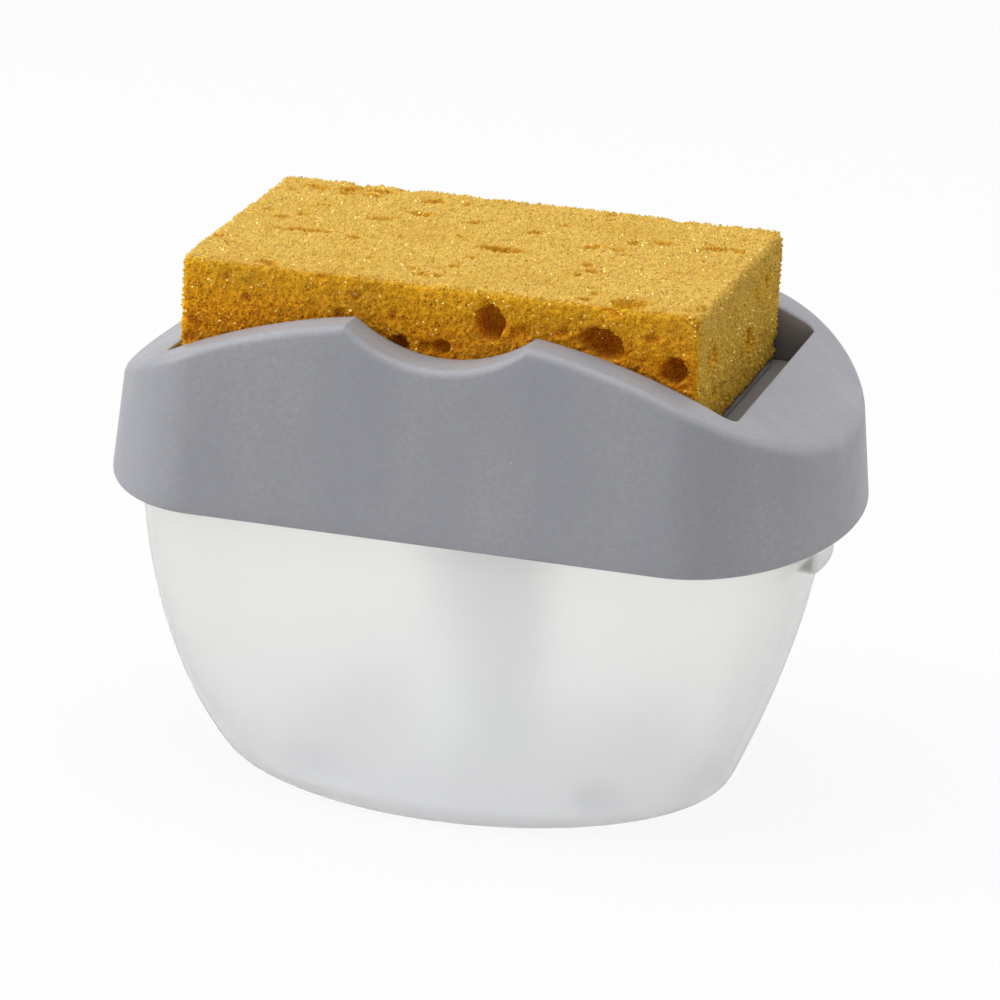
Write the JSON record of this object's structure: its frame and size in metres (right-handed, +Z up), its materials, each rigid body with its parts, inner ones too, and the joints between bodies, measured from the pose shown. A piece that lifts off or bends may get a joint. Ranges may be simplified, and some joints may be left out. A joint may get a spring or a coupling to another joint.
{
  "type": "soap dispenser with sponge holder",
  "caption": "Countertop soap dispenser: frosted oval reservoir under a grey arched holder whose sponge stands on a sprung press plate that works a piston pump.",
  "frame": {"origin": "middle of the footprint on the surface that the feet stand on", "axes": "+X along the long side to the right as seen from the front, +Y to the back, +Z up"},
  "size_m": [0.1698, 0.1088, 0.1214],
  "materials": {
    "frosted_clear": "frosted translucent, satin outside",
    "holder_grey": "fine satin, moulded",
    "natural_plastic": "uncoloured moulded plastic",
    "clear_silicone": "milky silicone",
    "dark_rubber": "matt seal rubber",
    "spring_steel": "drawn stainless wire",
    "sponge_foam": "open-celled sponge with fine pores and a few large ones"
  },
  "bodies": {
    "base": {"reservoir": "frosted_clear", "foot_front_left": "clear_silicone", "foot_front_right": "clear_silicone", "foot_back_left": "clear_silicone", "foot_back_right": "clear_silicone"},
    "holder": {"holder_collar": "holder_grey", "pump_cylinder": "natural_plastic", "stem_guide": "natural_plastic", "cylinder_gasket": "dark_rubber", "stem_wiper": "dark_rubber", "retaining_nut": "holder_grey", "valve_cage": "natural_plastic", "return_spring": "spring_steel"},
    "plunger": {"press_plate": "holder_grey", "pump_stem": "natural_plastic", "piston": "natural_plastic", "piston_seal": "dark_rubber", "outlet_valve": "clear_silicone", "valve_retainer": "natural_plastic"},
    "sponge_block": {"sponge": "sponge_foam"},
    "valve_ball": {"inlet_ball": "spring_steel"}
  },
  "joints": [
    {"name": "collar_lift", "type": "slide", "parent": "base", "child": "holder", "axis": [0, 0, 1], "range_m": [0, 0.09]},
    {"name": "press", "type": "slide", "parent": "holder", "child": "plunger", "axis": [0, 0, -1], "range_m": [0, 0.01], "stiffness_N_per_m": 600, "springref_m": -0.005, "deforming": ["return_spring"]},
    {"name": "sponge_lift", "type": "slide", "parent": "plunger", "child": "sponge_block", "axis": [0, 0, 1], "range_m": [0, 0.045]},
    {"name": "inlet_ball_lift", "type": "slide", "parent": "holder", "child": "valve_ball", "axis": [0, 0, 1], "range_m": [0, 0.0012]}
  ]
}
